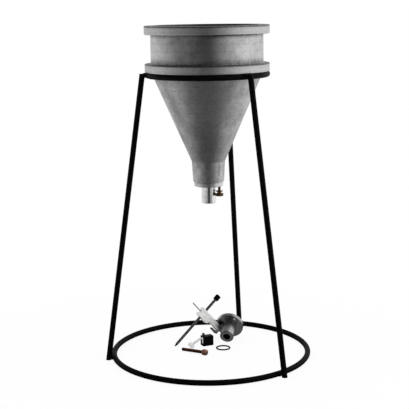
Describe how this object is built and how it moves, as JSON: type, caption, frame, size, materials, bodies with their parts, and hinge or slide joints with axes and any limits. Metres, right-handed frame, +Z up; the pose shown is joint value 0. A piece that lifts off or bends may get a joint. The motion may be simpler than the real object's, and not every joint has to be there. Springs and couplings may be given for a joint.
{
  "type": "grout flow cone",
  "caption": "Grout flow cone: cast funnel hung by its flange in a welded round-bar stand, with a flanged discharge nozzle, a point gauge and spare fittings lying inside the base ring.",
  "frame": {"origin": "centre of the base ring, on the floor that the stand rests on", "axes": "+Z up along the cone's axis, -Y towards the front of the object, +X to its right"},
  "size_m": [0.3594, 0.353, 0.5746],
  "materials": {
    "stand_paint": "satin black paint over round bar",
    "cast_aluminium": "cast and turned, satin, with fine turning lines",
    "nozzle_steel": "turned, dull",
    "tube_steel": "drawn tube, polished",
    "screw_brass": "dull, tarnished",
    "screw_copper": "dark, coppery",
    "seal_rubber": "moulded cord",
    "gauge_aluminium": "pale, matt blasted",
    "rod_steel": "dark drawn rod",
    "pin_steel": "plain",
    "knob_black": "moulded, knurled",
    "block_black": "moulded, satin",
    "nylon_white": "natural nylon"
  },
  "bodies": {
    "stand": {"top_ring": "stand_paint", "base_ring": "stand_paint", "leg_rear": "stand_paint", "leg_left": "stand_paint", "leg_right": "stand_paint", "top_weld_beads": "stand_paint", "base_weld_beads": "stand_paint"},
    "cone": {"cone_casting": "cast_aluminium"},
    "nozzle": {"nozzle_flange": "nozzle_steel", "discharge_tube": "tube_steel", "nozzle_seal_ring": "seal_rubber"},
    "washer": {"thumb_screw_washer": "screw_brass"},
    "thumb_screw": {"thumb_screw": "screw_brass"},
    "spare_nozzle": {"spare_nozzle_flange": "nozzle_steel", "spare_discharge_tube": "nozzle_steel"},
    "spare_seal": {"spare_seal_ring": "seal_rubber"},
    "spare_screw": {"spare_thumb_screw": "screw_copper"},
    "gauge": {"gauge_bracket": "gauge_aluminium"},
    "gauge_rod": {"gauge_rod": "rod_steel", "gauge_knob": "knob_black"},
    "gauge_lock": {"gauge_lock_screw": "pin_steel"},
    "clamp": {"clamp_block": "block_black", "clamp_stud": "block_black", "clamp_pad": "nylon_white"},
    "wing": {"wing_screw": "nylon_white"}
  },
  "joints": [
    {"name": "cone_lift", "type": "slide", "parent": "stand", "child": "cone", "axis": [0, 0, 1], "range_m": [0, 0.26]},
    {"name": "nozzle_drop", "type": "slide", "parent": "cone", "child": "nozzle", "axis": [0, 0, -1], "range_m": [0, 0.05]},
    {"name": "screw_feed", "type": "slide", "parent": "nozzle", "child": "washer", "axis": [0, 0, 1], "range_m": [-0.01205, 0.00802]},
    {"name": "screw_turn", "type": "hinge", "parent": "washer", "child": "thumb_screw", "pos_m": [0.018, -0.00878, 0.2865], "axis": [0, 0, 1], "range_deg": [-5400, 3600]},
    {"name": "spare_nozzle_lift", "type": "slide", "parent": "stand", "child": "spare_nozzle", "axis": [0.6, 0, 0.8], "range_m": [0, 0.1]},
    {"name": "spare_seal_lift", "type": "slide", "parent": "stand", "child": "spare_seal", "axis": [0, 0, 1], "range_m": [0, 0.05]},
    {"name": "spare_screw_lift", "type": "slide", "parent": "stand", "child": "spare_screw", "axis": [0, 0, 1], "range_m": [0, 0.05]},
    {"name": "gauge_lift", "type": "slide", "parent": "stand", "child": "gauge", "axis": [0, -0.6, 0.8], "range_m": [0, 0.1]},
    {"name": "gauge_rod_slide", "type": "slide", "parent": "gauge", "child": "gauge_rod", "axis": [0.6503, 0.4255, 0.6293], "range_m": [0, 0.06]},
    {"name": "gauge_lock_turn", "type": "hinge", "parent": "gauge", "child": "gauge_lock", "pos_m": [-0.01317, 0.07153, 0.05078], "axis": [0.6137, 0.1941, -0.7653], "continuous": true},
    {"name": "clamp_lift", "type": "slide", "parent": "stand", "child": "clamp", "axis": [0, 0, 1], "range_m": [0, 0.05]},
    {"name": "wing_lift", "type": "slide", "parent": "stand", "child": "wing", "axis": [0, 0, 1], "range_m": [0, 0.05]}
  ],
  "couplings": [
    {"joint": "screw_feed", "follows": "screw_turn", "m_per_rad": 0.00012732}
  ]
}
